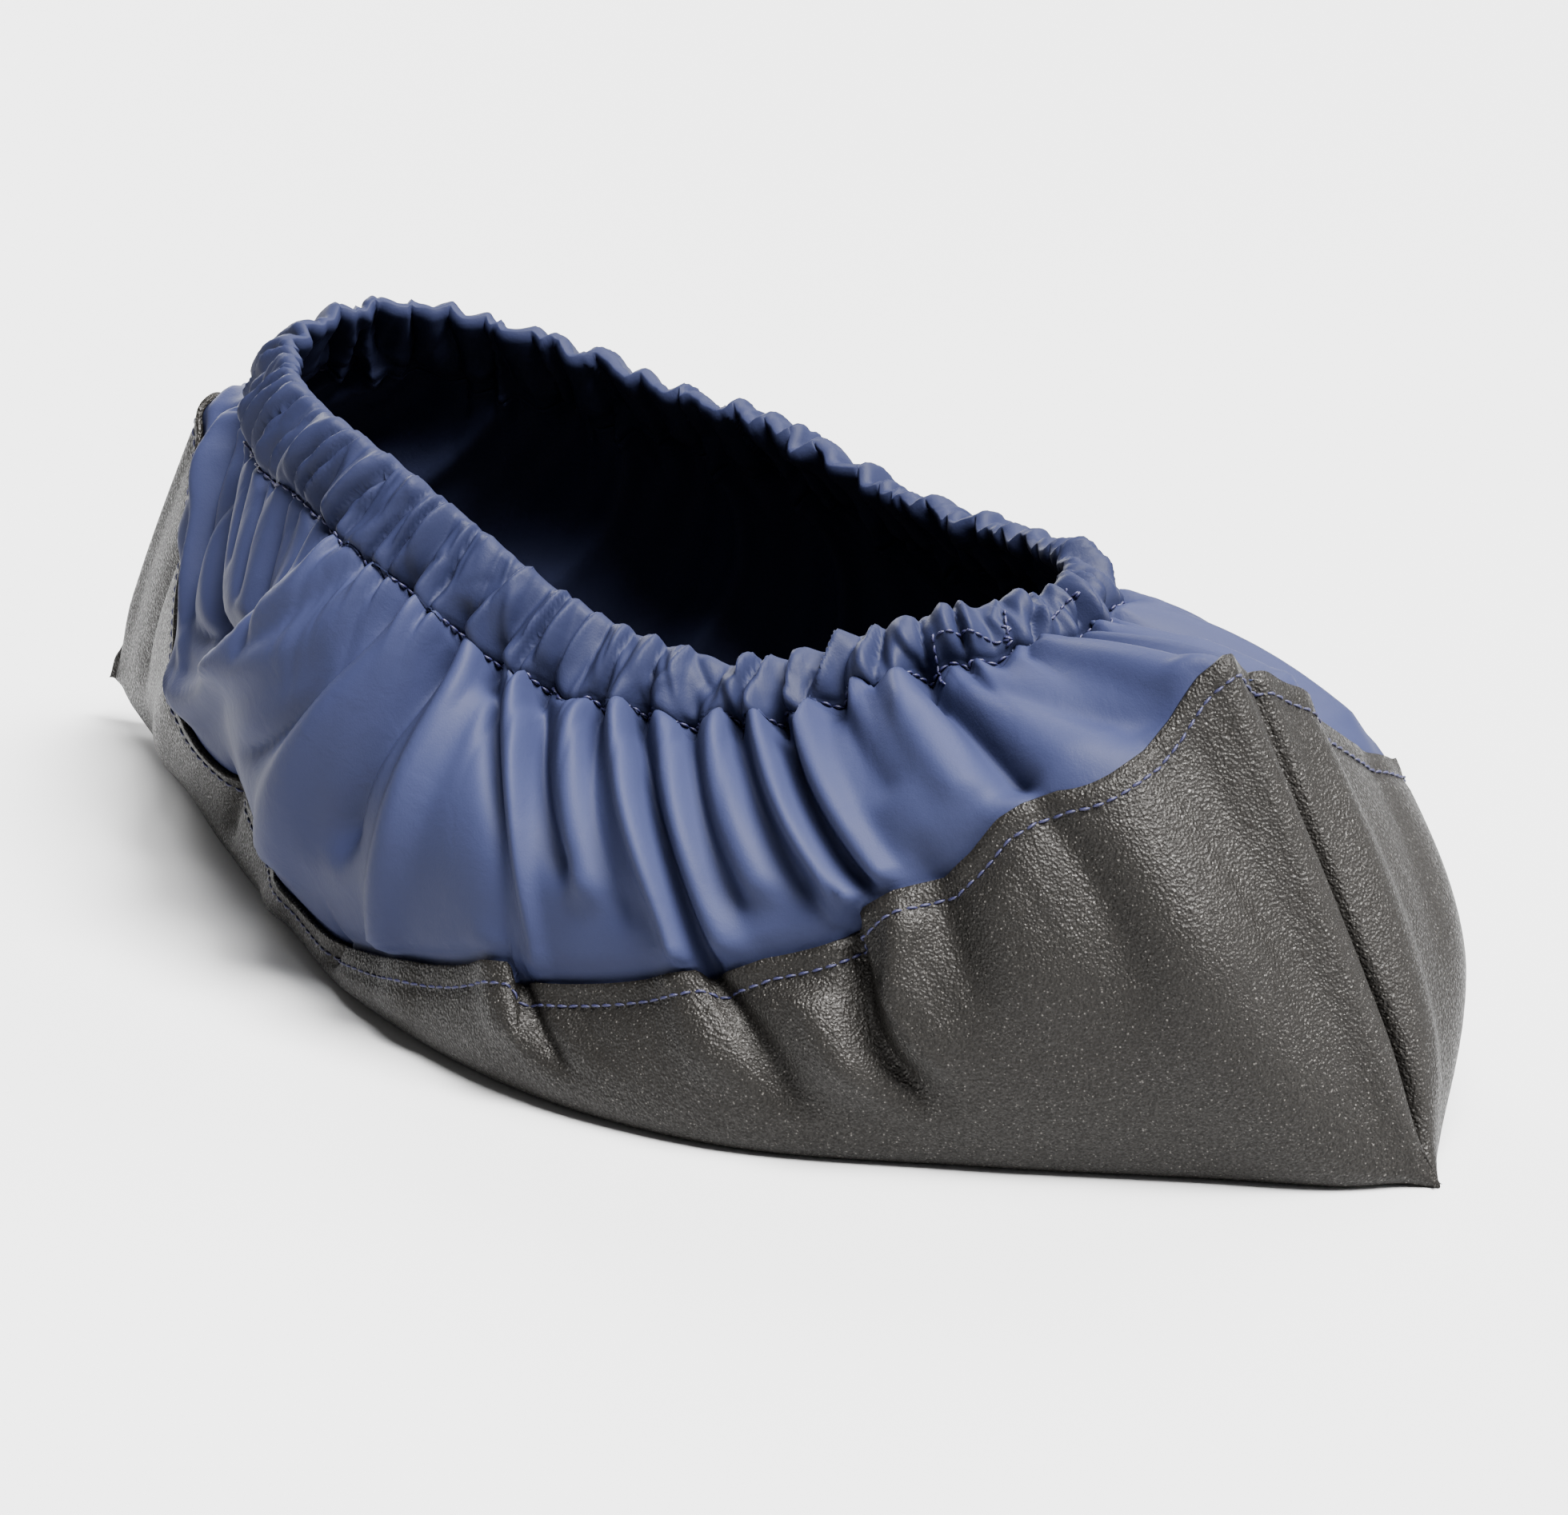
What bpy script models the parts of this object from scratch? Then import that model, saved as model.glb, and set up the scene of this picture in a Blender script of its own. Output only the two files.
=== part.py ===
"""Fabric overshoe for work footwear, empty and standing on its sole.

Units are metres, +Z is up and the toe points along +X. The floor is Z = 0, and
the origin is the middle of the overshoe's box at floor level.

The whole overshoe is one skin, made of rings that run round it: the floor line,
the sewn edge of the rubberised tray, the stitch line under the collar, and the
rim of the collar. Each ring starts at the toe seam, runs down the near side to
the heel seam and comes back up the far side. The tray, the upper and the collar
casing are all cut from that skin, so they keep their seams when a size changes.
"""
from math import cos, exp, pi, radians, sin

import bmesh
import bpy
from mathutils import Vector

NAME = "overshoe"

# Tray
LENGTH = 0.364             # floor line, toe tip to heel seam
BALL_WIDTH = 0.150         # floor line, at its widest
SIDEWAYS_CURVE = 0.010     # the toe and the heel swing this far to one side
BELLY = 0.008              # the tray wall swells this far out
HEEL_LIFT = 0.009          # the heel tip curls up off the floor by this
HEEL_CURL = 0.060          # length of sole that takes part in the curl
TOE_PEAK_HEIGHT = 0.088    # top of the tray's toe seam
TOE_PEAK_SETBACK = 0.045   # the toe seam leans back by this
HEEL_PEAK_HEIGHT = 0.083
HEEL_PEAK_SETBACK = 0.045

# Collar
COLLAR_HEIGHT = 0.100      # what the shares of the collar rows are taken of
RIM_LENGTH = 0.192
RIM_WIDTH = 0.088
RIM_FORWARD = -0.009       # middle of the rim, along the shoe
RIM_ASIDE = 0.004          # middle of the rim, across the shoe
CASING_SPREAD = 0.010      # the stitch line stands this far outside the rim
CASING_SWELL = 0.002
PUFF = 0.014               # the cloth swells this far out between its seams
RUFFLES = 26               # gathers round the collar
RUFFLE_DEPTH = 0.0018
FOLD_DEPTH = 0.004         # long folds that run down from the gathers

# Walls and clearances
TRAY_WALL = 0.0012
UPPER_WALL = 0.0010
CASING_WALL = 0.0034       # folded hem with its tape inside
LAP = 0.006                # the upper runs this far down inside the tray
GAP = 0.0003
SEAM_GAP = 0.0006          # left open where ruffled edges meet end to end

# Fineness
SEGMENTS = 160
WALL_SHARES = (0.0, 0.2, 0.5, 0.75, 1.0)    # rows up the tray wall, to the lap
CLOTH_SHARES = (0.12, 0.32, 0.52, 0.72, 0.88, 1.0)
CASING_SHARES = (0.35, 0.7, 1.0)

# A row for each section round the shoe, at an angle from 0 at the toe seam to
# 180 at the heel seam. floor and edge are shares of half the ball width, edge_up
# of the peak heights, belly of BELLY, puff of PUFF, and stitch_up and rim_up of
# the collar height.
COLUMNS = ("angle", "floor", "edge", "edge_up", "belly", "puff", "stitch_up", "rim_up")
NEAR_SIDE = (
    (0, 0.000, 0.00, 1.00, 0.0, 0.10, 0.84, 0.92),
    (10, 0.035, 0.18, 0.99, 0.6, 0.15, 0.84, 0.92),
    (20, 0.150, 0.42, 0.83, 1.0, 0.25, 0.83, 0.91),
    (35, 0.330, 0.59, 0.68, 1.0, 0.40, 0.79, 0.87),
    (50, 0.610, 0.76, 0.46, 0.8, 0.50, 0.70, 0.79),
    (65, 0.920, 0.90, 0.31, 0.5, 0.60, 0.68, 0.80),
    (80, 1.000, 0.97, 0.23, 0.4, 0.70, 0.70, 0.86),
    (95, 0.880, 0.90, 0.16, 0.4, 0.85, 0.79, 0.95),
    (110, 0.620, 0.77, 0.13, 0.3, 0.90, 0.85, 1.01),
    (125, 0.400, 0.58, 0.23, 0.2, 0.60, 0.87, 1.03),
    (140, 0.170, 0.52, 0.39, 0.4, 0.20, 0.87, 1.04),
    (160, 0.050, 0.22, 0.76, 0.3, 0.05, 0.88, 1.05),
    (180, 0.000, 0.00, 1.00, 0.0, 0.00, 0.90, 1.07),
)
FAR_SIDE = (
    (0, 0.000, 0.00, 1.00, 0.0, 0.10, 0.84, 0.92),
    (10, 0.035, 0.30, 0.83, 0.8, 0.15, 0.84, 0.92),
    (20, 0.150, 0.72, 0.62, 1.2, 0.25, 0.84, 0.92),
    (35, 0.330, 0.78, 0.54, 1.2, 0.40, 0.81, 0.91),
    (50, 0.610, 0.84, 0.44, 0.8, 0.50, 0.76, 0.88),
    (65, 0.920, 0.92, 0.33, 0.6, 0.60, 0.72, 0.86),
    (80, 1.000, 0.97, 0.26, 0.4, 0.70, 0.72, 0.87),
    (95, 0.880, 0.90, 0.20, 0.4, 0.85, 0.76, 0.92),
    (110, 0.670, 0.75, 0.20, 0.5, 1.00, 0.79, 0.95),
    (125, 0.500, 0.61, 0.29, 0.6, 0.80, 0.82, 0.99),
    (140, 0.240, 0.47, 0.45, 0.6, 0.35, 0.86, 1.04),
    (160, 0.060, 0.17, 0.78, 0.4, 0.08, 0.90, 1.08),
    (180, 0.000, 0.00, 1.00, 0.0, 0.00, 0.90, 1.07),
)

# Long folds of the cloth: side (-1 near, 1 far), angle and width in degrees, and
# depth as a share of FOLD_DEPTH.
FOLDS = (
    (-1, 28, 5, 0.6), (-1, 46, 4, 0.7), (-1, 57, 4, 0.8), (-1, 68, 4, 0.8),
    (-1, 80, 5, 0.9), (-1, 93, 5, 0.8), (-1, 106, 6, 1.0), (-1, 122, 7, 1.0),
    (-1, 138, 6, 0.8), (-1, 155, 6, 0.6),
    (1, 25, 6, 0.6), (1, 42, 5, 0.8), (1, 58, 5, 0.8), (1, 74, 5, 0.8),
    (1, 90, 6, 0.9), (1, 108, 6, 1.0), (1, 126, 7, 1.0), (1, 146, 6, 0.8),
)


def read_row(side, angle, column):
    """Read one column of a side's table, on a smooth curve through its rows."""
    table = NEAR_SIDE if side < 0 else FAR_SIDE
    place = COLUMNS.index(column)
    last = len(table) - 1
    i = max(k for k in range(last) if table[k][0] <= angle)
    span = table[i + 1][0] - table[i][0]
    share = (angle - table[i][0]) / span

    def slope(row):
        """Slope at a row; only the tray's edge meets the seams at a slant."""
        low, high = max(row - 1, 0), min(row + 1, last)
        if column != "edge" and (row == 0 or row == last):
            return 0.0
        rise = table[high][place] - table[low][place]
        return rise / (table[high][0] - table[low][0]) * span

    leave, arrive = slope(i), slope(i + 1)
    start, end = table[i][place], table[i + 1][place]
    square, cube = share ** 2, share ** 3
    return ((2 * cube - 3 * square + 1) * start + (cube - 2 * square + share) * leave
            + (3 * square - 2 * cube) * end + (cube - square) * arrive)


def turn(segment):
    """Side and angle of a segment."""
    degrees = 360.0 * segment / SEGMENTS
    if degrees <= 180.0:
        return -1, degrees
    return 1, 360.0 - degrees


def middle_line(x):
    """Sideways place of the shoe's middle line."""
    return SIDEWAYS_CURVE * (x / (LENGTH / 2)) ** 2


def floor_line(side, angle):
    x = LENGTH / 2 * cos(radians(angle))
    half = BALL_WIDTH / 2 * read_row(side, angle, "floor")
    curl = max(0.0, HEEL_CURL - LENGTH / 2 - x) / HEEL_CURL
    return Vector((x, middle_line(x) + side * half, HEEL_LIFT * curl ** 2))


def tray_edge(side, angle):
    toe, heel = LENGTH / 2 - TOE_PEAK_SETBACK, HEEL_PEAK_SETBACK - LENGTH / 2
    x = (toe + heel) / 2 + (toe - heel) / 2 * cos(radians(angle))
    half = BALL_WIDTH / 2 * read_row(side, angle, "edge")
    toward_heel = (toe - x) / (toe - heel)
    peak = TOE_PEAK_HEIGHT + (HEEL_PEAK_HEIGHT - TOE_PEAK_HEIGHT) * toward_heel
    return Vector((x, middle_line(x) + side * half, peak * read_row(side, angle, "edge_up")))


def collar_ring(side, angle, spread, column):
    """Rim of the collar, or its stitch line, which stands outside the rim."""
    x = RIM_FORWARD + (RIM_LENGTH / 2 + spread) * cos(radians(angle))
    y = RIM_ASIDE + middle_line(x) + side * (RIM_WIDTH / 2 + spread) * sin(radians(angle))
    return Vector((x, y, COLLAR_HEIGHT * read_row(side, angle, column)))


def casing_stitch(side, angle):
    return collar_ring(side, angle, CASING_SPREAD, "stitch_up")


def rim(side, angle):
    return collar_ring(side, angle, 0.0, "rim_up")


def fold(side, angle):
    """Depth of the long folds at an angle."""
    return FOLD_DEPTH * sum(strength * exp(-((angle - at) / width) ** 2)
                            for fold_side, at, width, strength in FOLDS if fold_side == side)


def ruffle(segment):
    """Height of the gathers over the mean surface; they bunch up unevenly."""
    share = 2 * pi * segment / SEGMENTS
    return RUFFLE_DEPTH * sin(RUFFLES * share + 1.3 * sin(5 * share))


def wall_swell(segment, share):
    return BELLY * read_row(*turn(segment), "belly") * sin(pi * share)


def cloth_swell(segment, share):
    side, angle = turn(segment)
    bulge = PUFF * read_row(side, angle, "puff") * sin(pi * share)
    return bulge - fold(side, angle) * sin(pi * share) + ruffle(segment) * share ** 3


def casing_swell(segment, share):
    return CASING_SWELL * sin(pi * share) + ruffle(segment)


def swollen_row(low_ring, high_ring, swell, share_at):
    """One row between two rings, pushed out square to the skin."""
    row = []
    for segment in range(SEGMENTS):
        share = share_at(segment)
        near = [low_ring(*turn((segment + step) % SEGMENTS)).lerp(
                high_ring(*turn((segment + step) % SEGMENTS)), share) for step in (-1, 0, 1)]
        rise = high_ring(*turn(segment)) - low_ring(*turn(segment))
        outward = rise.cross(near[2] - near[0]).normalized()
        row.append(near[1] + outward * swell(segment, share))
    return row


def lap_share(segment):
    """Share of the tray wall where the upper's hidden lower edge lies."""
    side, angle = turn(segment)
    wall = (tray_edge(side, angle) - floor_line(side, angle)).length
    return 1.0 - LAP / wall


def whole_skin():
    """Rows of the outer skin from the floor line to the rim, with each seam's row."""
    rows = [swollen_row(floor_line, tray_edge, wall_swell, lambda s, k=share: k * lap_share(s))
            for share in WALL_SHARES]
    lap = len(rows) - 1
    rows.append(swollen_row(floor_line, tray_edge, wall_swell, lambda s: 1.0))
    edge = len(rows) - 1
    rows += [swollen_row(tray_edge, casing_stitch, cloth_swell, lambda s, k=share: k)
             for share in CLOTH_SHARES]
    stitch = len(rows) - 1
    rows += [swollen_row(casing_stitch, rim, casing_swell, lambda s, k=share: k)
             for share in CASING_SHARES]
    return rows, lap, edge, stitch


def centred(rows):
    """The same rows, moved so that the origin is the middle of their box."""
    ends = [(min(v[i] for row in rows for v in row), max(v[i] for row in rows for v in row))
            for i in (0, 1)]
    shift = Vector((-sum(ends[0]) / 2, -sum(ends[1]) / 2, 0))
    return [[point + shift for point in row] for row in rows]


def skin_mesh(rows):
    """The skin as one open mesh, used only to read the way its surface faces."""
    mesh = bmesh.new()
    grid = [[mesh.verts.new(point) for point in row] for row in rows]
    join_rows(mesh, grid)
    join_across(mesh, grid[0], False)
    mesh.normal_update()
    return mesh, grid


def join_rows(mesh, grid, inside=False):
    for low, high in zip(grid, grid[1:]):
        for i in range(SEGMENTS):
            j = (i + 1) % SEGMENTS
            corners = (low[i], high[i], high[j], low[j])
            mesh.faces.new(reversed(corners) if inside else corners)


def join_across(mesh, ring, inside):
    """Close the sole with strips that run from side to side."""
    half = SEGMENTS // 2
    for i in range(half):
        near, near_next = ring[i], ring[i + 1]
        far, far_next = ring[-i % SEGMENTS], ring[-(i + 1) % SEGMENTS]
        corners = [near, near_next, far_next, far]
        if i == 0:
            corners.remove(far)
        if i == half - 1:
            corners.remove(far_next)
        mesh.faces.new(reversed(corners) if inside else corners)


def sunk(grid, depth):
    """Rows of points that lie this deep under the skin."""
    return [[v.co - v.normal * depth * v.calc_shell_factor() for v in row] for row in grid]


def wall_object(name, outer, inner, material, sole=False):
    """Closed wall between two sets of rows; a sole closes the bottom of both."""
    mesh = bmesh.new()
    out = [[mesh.verts.new(point) for point in row] for row in outer]
    ins = [[mesh.verts.new(point) for point in row] for row in inner]
    join_rows(mesh, out)
    join_rows(mesh, ins, inside=True)
    join_rows(mesh, [out[-1], ins[-1]])
    if sole:
        join_across(mesh, out[0], False)
        join_across(mesh, ins[0], True)
    else:
        join_rows(mesh, [ins[0], out[0]])
    bmesh.ops.triangulate(mesh, faces=mesh.faces, quad_method="FIXED")
    data = bpy.data.meshes.new(name)
    mesh.to_mesh(data)
    mesh.free()
    data.shade_smooth()
    data.set_sharp_from_angle(angle=radians(50))
    data.materials.append(material)
    return bpy.data.objects.new(name, data)


def surface(name, colour, roughness):
    material = bpy.data.materials.new(name)
    material.use_nodes = True
    shader = material.node_tree.nodes["Principled BSDF"]
    shader.inputs["Base Color"].default_value = (*colour, 1.0)
    shader.inputs["Roughness"].default_value = roughness
    shader.inputs["Metallic"].default_value = 0.0
    return material


def shortened(rows, at_start, length):
    """Rows whose first or last ring is drawn back along the skin by a length."""
    end, neighbour = (0, 1) if at_start else (-1, -2)
    moved = [point + (inward - point).normalized() * length
             for point, inward in zip(rows[end], rows[neighbour])]
    rows = list(rows)
    rows[end] = moved
    return rows


def build():
    for old in list(bpy.data.objects):
        bpy.data.objects.remove(old)
    collection = bpy.data.collections.new(NAME)
    bpy.context.scene.collection.children.link(collection)

    rows, lap, edge, stitch = whole_skin()
    skin, grid = skin_mesh(centred(rows))
    cloth_depth = TRAY_WALL + GAP

    tray = wall_object("sole", sunk(grid[:edge + 1], 0.0), sunk(grid[:edge + 1], TRAY_WALL),
                       surface("rubberised cloth", (0.085, 0.080, 0.075), 0.6), sole=True)
    upper = wall_object("upper",
                        shortened(sunk(grid[lap:stitch + 1], cloth_depth), False, SEAM_GAP),
                        shortened(sunk(grid[lap:stitch + 1], cloth_depth + UPPER_WALL), False, SEAM_GAP),
                        surface("coated blue cloth", (0.065, 0.085, 0.200), 0.5))
    casing = wall_object("collar_casing",
                         shortened(sunk(grid[stitch:], 0.0), True, GAP),
                         shortened(sunk(grid[stitch:], CASING_WALL), True, GAP),
                         surface("gathered blue cloth", (0.055, 0.070, 0.170), 0.5))
    skin.free()
    for piece in (tray, upper, casing):
        collection.objects.link(piece)


build()
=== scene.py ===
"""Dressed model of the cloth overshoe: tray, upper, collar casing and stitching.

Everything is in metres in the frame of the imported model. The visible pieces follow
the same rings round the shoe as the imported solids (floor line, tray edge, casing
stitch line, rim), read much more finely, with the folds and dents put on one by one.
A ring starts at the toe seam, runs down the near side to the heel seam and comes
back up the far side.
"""
from math import cos, pi, radians, sin

import bpy
import numpy as np
from mathutils import Matrix, Vector


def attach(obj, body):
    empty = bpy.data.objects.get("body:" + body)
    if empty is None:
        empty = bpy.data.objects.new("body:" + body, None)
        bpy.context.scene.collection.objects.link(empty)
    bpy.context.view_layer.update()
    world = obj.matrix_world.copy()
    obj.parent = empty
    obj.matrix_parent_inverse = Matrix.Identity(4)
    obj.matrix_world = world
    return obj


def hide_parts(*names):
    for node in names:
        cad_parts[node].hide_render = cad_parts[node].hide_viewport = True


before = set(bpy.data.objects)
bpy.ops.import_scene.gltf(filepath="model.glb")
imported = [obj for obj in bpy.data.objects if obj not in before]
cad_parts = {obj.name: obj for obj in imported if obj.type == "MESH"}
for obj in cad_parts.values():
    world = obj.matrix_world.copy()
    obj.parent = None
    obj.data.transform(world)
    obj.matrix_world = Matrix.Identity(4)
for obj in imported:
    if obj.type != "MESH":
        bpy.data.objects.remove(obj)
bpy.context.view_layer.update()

MM = 0.001

# Camera: the photograph's viewing angle, aimed at the one shoe, with the toe on the right
VIEW_AZIMUTH = 44.20
VIEW_ELEVATION = 19.96
VIEW_ROLL = -0.23
VIEW_DISTANCE = 1.160
VIEW_TARGET = (0.0483, -0.0196, 0.0560)
VIEW_LENS = 143.8
SENSOR_WIDTH = 36.0
CLIP_START, CLIP_END = 0.01, 50.0

# Sizes of the shape, as in the solids, but for the cloth's wall
LENGTH = 0.364
BALL_WIDTH = 0.150
SIDEWAYS_CURVE = 0.010
BELLY = 0.008
HEEL_LIFT = 0.009
HEEL_CURL = 0.060
TOE_PEAK_HEIGHT = 0.088
TOE_PEAK_SETBACK = 0.045
HEEL_PEAK_HEIGHT = 0.083
HEEL_PEAK_SETBACK = 0.045
COLLAR_HEIGHT = 0.100
RIM_LENGTH = 0.192
RIM_WIDTH = 0.088
RIM_FORWARD = -0.009
RIM_ASIDE = 0.004
CASING_SPREAD = 0.010
PUFF = 0.014
TRAY_WALL = 0.0012
CLOTH_WALL = 0.0007

# A side's rows run from the toe seam to the heel seam. Past the angle all is in shares: floor
# and edge of half the ball width, edge_up of the line from peak to peak, belly and puff of
# the sizes of those names, and stitch_up and rim_up of the collar height.
COLUMNS = ("angle", "floor", "edge", "edge_up", "belly", "puff", "stitch_up", "rim_up")
NEAR_SIDE = np.array((
    (0, 0.000, 0.00, 1.00, 0.0, 0.10, 0.84, 0.92),
    (10, 0.035, 0.18, 0.99, 0.6, 0.15, 0.84, 0.92),
    (20, 0.150, 0.42, 0.83, 1.0, 0.25, 0.83, 0.91),
    (35, 0.330, 0.59, 0.68, 1.0, 0.40, 0.79, 0.87),
    (50, 0.610, 0.76, 0.46, 0.8, 0.50, 0.70, 0.79),
    (65, 0.920, 0.90, 0.31, 0.5, 0.60, 0.68, 0.80),
    (80, 1.000, 0.97, 0.23, 0.4, 0.70, 0.70, 0.86),
    (95, 0.880, 0.90, 0.16, 0.4, 0.85, 0.79, 0.95),
    (110, 0.620, 0.77, 0.13, 0.3, 0.90, 0.85, 1.01),
    (125, 0.400, 0.58, 0.23, 0.2, 0.60, 0.87, 1.03),
    (140, 0.170, 0.52, 0.39, 0.4, 0.20, 0.87, 1.04),
    (160, 0.050, 0.22, 0.76, 0.3, 0.05, 0.88, 1.05),
    (180, 0.000, 0.00, 1.00, 0.0, 0.00, 0.90, 1.07),
))
FAR_SIDE = np.array((
    (0, 0.000, 0.00, 1.00, 0.0, 0.10, 0.84, 0.92),
    (10, 0.035, 0.30, 0.83, 0.8, 0.15, 0.84, 0.92),
    (20, 0.150, 0.72, 0.62, 1.2, 0.25, 0.84, 0.92),
    (35, 0.330, 0.78, 0.54, 1.2, 0.40, 0.81, 0.91),
    (50, 0.610, 0.84, 0.44, 0.8, 0.50, 0.76, 0.88),
    (65, 0.920, 0.92, 0.33, 0.6, 0.60, 0.72, 0.86),
    (80, 1.000, 0.97, 0.26, 0.4, 0.70, 0.72, 0.87),
    (95, 0.880, 0.90, 0.20, 0.4, 0.85, 0.76, 0.92),
    (110, 0.670, 0.75, 0.20, 0.5, 1.00, 0.79, 0.95),
    (125, 0.500, 0.61, 0.29, 0.6, 0.80, 0.82, 0.99),
    (140, 0.240, 0.47, 0.45, 0.6, 0.35, 0.86, 1.04),
    (160, 0.060, 0.17, 0.78, 0.4, 0.08, 0.90, 1.08),
    (180, 0.000, 0.00, 1.00, 0.0, 0.00, 0.90, 1.07),
))

# Fineness of the visible sheets. The segments stand closer along the sides than at the
# toe and heel seams.
SEGMENTS = 1080
TRAY_ROWS = 30
CORNER_ROWS = 6
SOLE_STRIPS = 16
CLOTH_ROWS = 43
CASING_ROWS = 22
SIDE_CROWDING = 0.40
TRAY_ROW_POWER = 0.85
CLOTH_ROW_POWER = 1.45
CASING_ROW_POWER = 1.15

EVEN_TURN = np.arange(SEGMENTS) * 2 * pi / SEGMENTS
TURN = np.degrees(EVEN_TURN + SIDE_CROWDING / 2 * np.sin(2 * EVEN_TURN))
SIDE = np.where(TURN <= 180.0, -1.0, 1.0)
ANGLE = np.where(TURN <= 180.0, TURN, 360.0 - TURN)
COS, SIN = np.cos(np.radians(ANGLE)), np.sin(np.radians(ANGLE))

# Signed angle round the shoe: negative on the near side, positive on the far side
TURN_SIGNED = SIDE * ANGLE

# Degrees to the nearer of the toe seam and the heel seam
FROM_SEAM = np.minimum(ANGLE, 180 - ANGLE)


def read_side(table, column):
    """One column of a side's table at every angle, on a smooth curve through its rows. The
    curve ends level, but for the tray's edge, which meets both seams at an angle."""
    place, rows = COLUMNS.index(column), table[:, 0]
    value = table[:, place]
    slopes = np.zeros(len(rows))
    slopes[1:-1] = (value[2:] - value[:-2]) / (rows[2:] - rows[:-2])
    if column == "edge":
        slopes[0] = (value[1] - value[0]) / (rows[1] - rows[0])
        slopes[-1] = (value[-1] - value[-2]) / (rows[-1] - rows[-2])
    i = np.clip(np.searchsorted(rows, ANGLE, side="right") - 1, 0, len(rows) - 2)
    span = rows[i + 1] - rows[i]
    s = (ANGLE - rows[i]) / span
    return ((2 * s ** 3 - 3 * s ** 2 + 1) * value[i] + (s ** 3 - 2 * s ** 2 + s) * slopes[i] * span
            + (3 * s ** 2 - 2 * s ** 3) * value[i + 1] + (s ** 3 - s ** 2) * slopes[i + 1] * span)


def read(column):
    return np.where(SIDE < 0, read_side(NEAR_SIDE, column), read_side(FAR_SIDE, column))


def middle_line(x):
    return SIDEWAYS_CURVE * (x / (LENGTH / 2)) ** 2


def ring(x, half, z):
    return np.stack((x, middle_line(x) + SIDE * half, z), axis=-1)


def floor_ring():
    x = LENGTH / 2 * COS
    curl = np.clip(HEEL_CURL - LENGTH / 2 - x, 0, None) / HEEL_CURL
    return ring(x, BALL_WIDTH / 2 * read("floor"), HEEL_LIFT * curl ** 2)


def edge_ring():
    toe, heel = LENGTH / 2 - TOE_PEAK_SETBACK, HEEL_PEAK_SETBACK - LENGTH / 2
    x = (toe + heel) / 2 + (toe - heel) / 2 * COS
    peak = TOE_PEAK_HEIGHT + (HEEL_PEAK_HEIGHT - TOE_PEAK_HEIGHT) * (toe - x) / (toe - heel)
    return ring(x, BALL_WIDTH / 2 * read("edge"), peak * read("edge_up"))


def collar_ring(spread, column):
    x = RIM_FORWARD + (RIM_LENGTH / 2 + spread) * COS
    points = ring(x, (RIM_WIDTH / 2 + spread) * SIN, COLLAR_HEIGHT * read(column))
    points[:, 1] += RIM_ASIDE
    return points


def unit(vectors):
    return vectors / np.maximum(np.linalg.norm(vectors, axis=-1, keepdims=True), 1e-12)


def ruled(low, high, shares, swell):
    """Rows between two rings, swollen square to the skin. shares is a row for each row."""
    s = shares[..., None]
    base = low[None] * (1 - s) + high[None] * s
    along = np.roll(base, -1, axis=1) - np.roll(base, 1, axis=1)
    outward = unit(np.cross((high - low)[None], along))
    return base + outward * swell[..., None]


def facing(grid):
    """Which way a grid of points faces, outward."""
    along = np.roll(grid, -1, axis=1) - np.roll(grid, 1, axis=1)
    return unit(np.cross(np.gradient(grid, axis=0), along))


def raised(grid, height):
    return grid + facing(grid) * height[..., None]


# How far the tray's cut edge strays from the smooth line: signed angle, millimetres up.
# The jumps are the pleats where the cloth laps over itself.
EDGE_RISE = (
    (-180, 0.0), (-150, 0.5), (-138, -1.0), (-128, 1.5), (-112, 1.5), (-102, -1.0), (-92, 0.5),
    (-84, 2.3), (-80, 4.2), (-77.8, 4.4), (-76.8, 0.8), (-68, 0.8), (-60.0, 1.2), (-58.8, -0.6),
    (-54, 0.0), (-46.2, -2.6), (-45.2, 1.6), (-42, 1.2), (-37, -2.4), (-34, -0.6), (-31, 3.0),
    (-28, 3.8), (-23.6, 2.6), (-17.6, -2.2), (-14, -4.4), (-11.5, -3.4), (-8, 0.8), (-4, 3.6),
    (-1.2, 1.6), (0.6, -0.6), (3, 0.2), (8, 0.6), (14, -0.8), (22, 1.2), (30, -1.6), (37, 2.2),
    (45, -1.0), (52, 2.4), (54, -1.2), (62, 0.8), (70, -0.8), (79, 1.6), (88, 0.0), (97, 2.6),
    (99, -0.8), (108, 0.6), (118, -1.2), (128, 1.8), (137, -0.8), (150, 0.8), (165, 0.0),
    (180, 0.0),
)

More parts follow.
